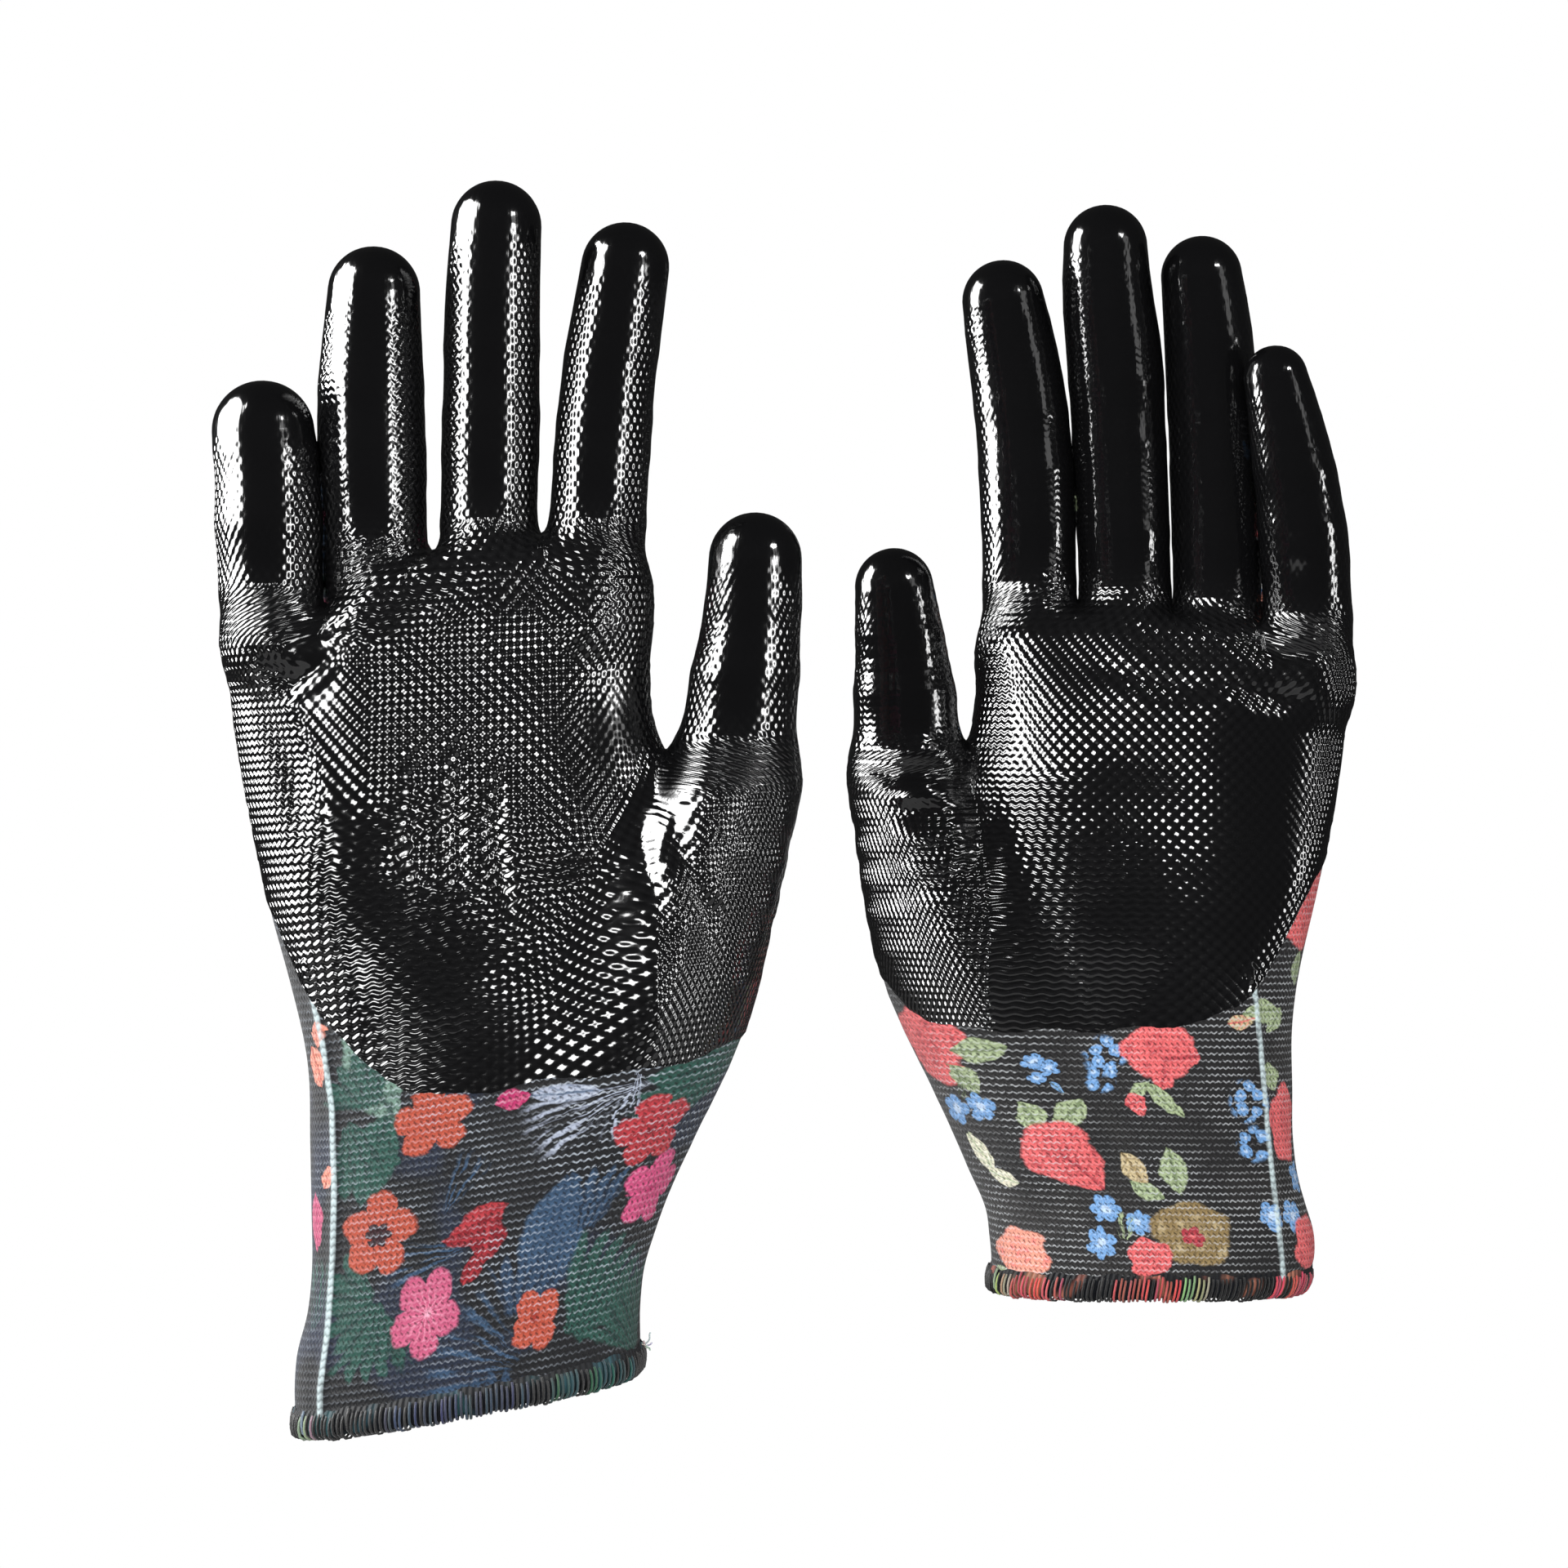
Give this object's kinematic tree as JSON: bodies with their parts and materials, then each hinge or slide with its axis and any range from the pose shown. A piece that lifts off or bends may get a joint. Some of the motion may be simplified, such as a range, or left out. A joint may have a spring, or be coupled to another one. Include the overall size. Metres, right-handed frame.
{
  "type": "garden gloves",
  "caption": "Pair of women's garden gloves: floral-print seamless knit with a glossy black nitrile coat over palms and fingers.",
  "frame": {"origin": "centre of the right-hand glove's wrist opening, at its hem", "axes": "+Z from the wrists towards the fingertips, palms face -Y, +X from the right-hand glove towards the left-hand glove"},
  "size_m": [0.2331, 0.1447, 0.2473],
  "materials": {
    "print": "floral printed knit",
    "coat": "glossy smooth nitrile",
    "thread": "overlocked polyester thread",
    "elastic": "covered elastic yarn"
  },
  "bodies": {
    "right_glove": {"right_hem_overlock": "thread", "right_cuff": "print", "right_five_finger_body": "print", "right_four_finger_body": "print", "right_palm_coat_lower": "coat", "right_palm_coat_upper": "coat", "right_cuff_elastic": "elastic", "right_thread_tail": "thread"},
    "right_little_base": {"right_little_base": "print", "right_little_base_coat": "coat"},
    "right_little_tip": {"right_little_tip": "print", "right_little_tip_coat": "coat"},
    "right_ring_base": {"right_ring_base": "print", "right_ring_base_coat": "coat"},
    "right_ring_tip": {"right_ring_tip": "print", "right_ring_tip_coat": "coat"},
    "right_middle_base": {"right_middle_base": "print", "right_middle_base_coat": "coat"},
    "right_middle_tip": {"right_middle_tip": "print", "right_middle_tip_coat": "coat"},
    "right_index_base": {"right_index_base": "print", "right_index_base_coat": "coat"},
    "right_index_tip": {"right_index_tip": "print", "right_index_tip_coat": "coat"},
    "right_thumb_base": {"right_thumb_base": "print", "right_thumb_base_coat": "coat"},
    "right_thumb_tip": {"right_thumb_tip": "print", "right_thumb_tip_coat": "coat"},
    "left_glove": {"left_hem_overlock": "thread", "left_cuff": "print", "left_five_finger_body": "print", "left_four_finger_body": "print", "left_palm_coat_lower": "coat", "left_palm_coat_upper": "coat", "left_cuff_elastic": "elastic", "left_thread_tail": "thread"},
    "left_little_base": {"left_little_base": "print", "left_little_base_coat": "coat"},
    "left_little_tip": {"left_little_tip": "print", "left_little_tip_coat": "coat"},
    "left_ring_base": {"left_ring_base": "print", "left_ring_base_coat": "coat"},
    "left_ring_tip": {"left_ring_tip": "print", "left_ring_tip_coat": "coat"},
    "left_middle_base": {"left_middle_base": "print", "left_middle_base_coat": "coat"},
    "left_middle_tip": {"left_middle_tip": "print", "left_middle_tip_coat": "coat"},
    "left_index_base": {"left_index_base": "print", "left_index_base_coat": "coat"},
    "left_index_tip": {"left_index_tip": "print", "left_index_tip_coat": "coat"},
    "left_thumb_base": {"left_thumb_base": "print", "left_thumb_base_coat": "coat"},
    "left_thumb_tip": {"left_thumb_tip": "print", "left_thumb_tip_coat": "coat"}
  },
  "joints": [
    {"name": "right_little_base_bend", "type": "hinge", "parent": "right_glove", "child": "right_little_base", "pos_m": [-0.03979, -0.01659, 0.15904], "axis": [0.9806, 0, 0.1961], "range_deg": [0, 85]},
    {"name": "right_little_tip_bend", "type": "hinge", "parent": "right_little_base", "child": "right_little_tip", "pos_m": [-0.04043, -0.01842, 0.175], "axis": [1, 0, 0], "range_deg": [0, 90]},
    {"name": "right_ring_base_bend", "type": "hinge", "parent": "right_glove", "child": "right_ring_base", "pos_m": [-0.01962, -0.01204, 0.16308], "axis": [0.9806, 0, 0.1961], "range_deg": [0, 85]},
    {"name": "right_ring_tip_bend", "type": "hinge", "parent": "right_ring_base", "child": "right_ring_tip", "pos_m": [-0.01979, -0.01393, 0.188], "axis": [1, 0, 0], "range_deg": [0, 90]},
    {"name": "right_middle_base_bend", "type": "hinge", "parent": "right_glove", "child": "right_middle_base", "pos_m": [0.00171, -0.01205, 0.16734], "axis": [0.9806, 0, 0.1961], "range_deg": [0, 85]},
    {"name": "right_middle_tip_bend", "type": "hinge", "parent": "right_middle_base", "child": "right_middle_tip", "pos_m": [0.00229, -0.01393, 0.195], "axis": [1, 0, 0], "range_deg": [0, 90]},
    {"name": "right_index_base_bend", "type": "hinge", "parent": "right_glove", "child": "right_index_base", "pos_m": [0.02305, -0.01264, 0.17161], "axis": [0.9806, 0, 0.1961], "range_deg": [0, 85]},
    {"name": "right_index_tip_bend", "type": "hinge", "parent": "right_index_base", "child": "right_index_tip", "pos_m": [0.02495, -0.01388, 0.194], "axis": [1, 0, 0], "range_deg": [0, 90]},
    {"name": "right_thumb_base_bend", "type": "hinge", "parent": "right_glove", "child": "right_thumb_base", "pos_m": [0.049, -0.0176, 0.118], "axis": [1, 0, 0], "range_deg": [0, 35]},
    {"name": "right_thumb_tip_bend", "type": "hinge", "parent": "right_thumb_base", "child": "right_thumb_tip", "pos_m": [0.0521, -0.02034, 0.142], "axis": [1, 0, 0], "range_deg": [0, 60]},
    {"name": "left_glove_apart", "type": "slide", "parent": "right_glove", "child": "left_glove", "axis": [1, 0, 0], "range_m": [0, 0.1]},
    {"name": "left_little_base_bend", "type": "hinge", "parent": "left_glove", "child": "left_little_base", "pos_m": [0.17117, 0.08381, 0.15469], "axis": [0.9633, -0.2048, -0.1734], "range_deg": [0, 85]},
    {"name": "left_little_tip_bend", "type": "hinge", "parent": "left_little_base", "child": "left_little_tip", "pos_m": [0.16851, 0.07815, 0.179], "axis": [0.9781, -0.2079, 0], "range_deg": [0, 90]},
    {"name": "left_ring_base_bend", "type": "hinge", "parent": "left_glove", "child": "left_ring_base", "pos_m": [0.15168, 0.08861, 0.15819], "axis": [0.9633, -0.2048, -0.1734], "range_deg": [0, 85]},
    {"name": "left_ring_tip_bend", "type": "hinge", "parent": "left_ring_base", "child": "left_ring_tip", "pos_m": [0.15038, 0.08715, 0.193], "axis": [0.9781, -0.2079, 0], "range_deg": [0, 90]},
    {"name": "left_middle_base_bend", "type": "hinge", "parent": "left_glove", "child": "left_middle_base", "pos_m": [0.13128, 0.088, 0.16183], "axis": [0.9633, -0.2048, -0.1734], "range_deg": [0, 85]},
    {"name": "left_middle_tip_bend", "type": "hinge", "parent": "left_middle_base", "child": "left_middle_tip", "pos_m": [0.12973, 0.08628, 0.199], "axis": [0.9781, -0.2079, 0], "range_deg": [0, 90]},
    {"name": "left_index_base_bend", "type": "hinge", "parent": "left_glove", "child": "left_index_base", "pos_m": [0.10999, 0.08742, 0.16566], "axis": [0.9633, -0.2048, -0.1734], "range_deg": [0, 85]},
    {"name": "left_index_tip_bend", "type": "hinge", "parent": "left_index_base", "child": "left_index_tip", "pos_m": [0.10862, 0.08633, 0.193], "axis": [0.9781, -0.2079, 0], "range_deg": [0, 90]},
    {"name": "left_thumb_base_bend", "type": "hinge", "parent": "left_glove", "child": "left_thumb_base", "pos_m": [0.08049, 0.08293, 0.116], "axis": [0.8988, -0.4384, 0], "range_deg": [0, 35]},
    {"name": "left_thumb_tip_bend", "type": "hinge", "parent": "left_thumb_base", "child": "left_thumb_tip", "pos_m": [0.07933, 0.07938, 0.143], "axis": [0.8988, -0.4384, 0], "range_deg": [0, 60]}
  ]
}
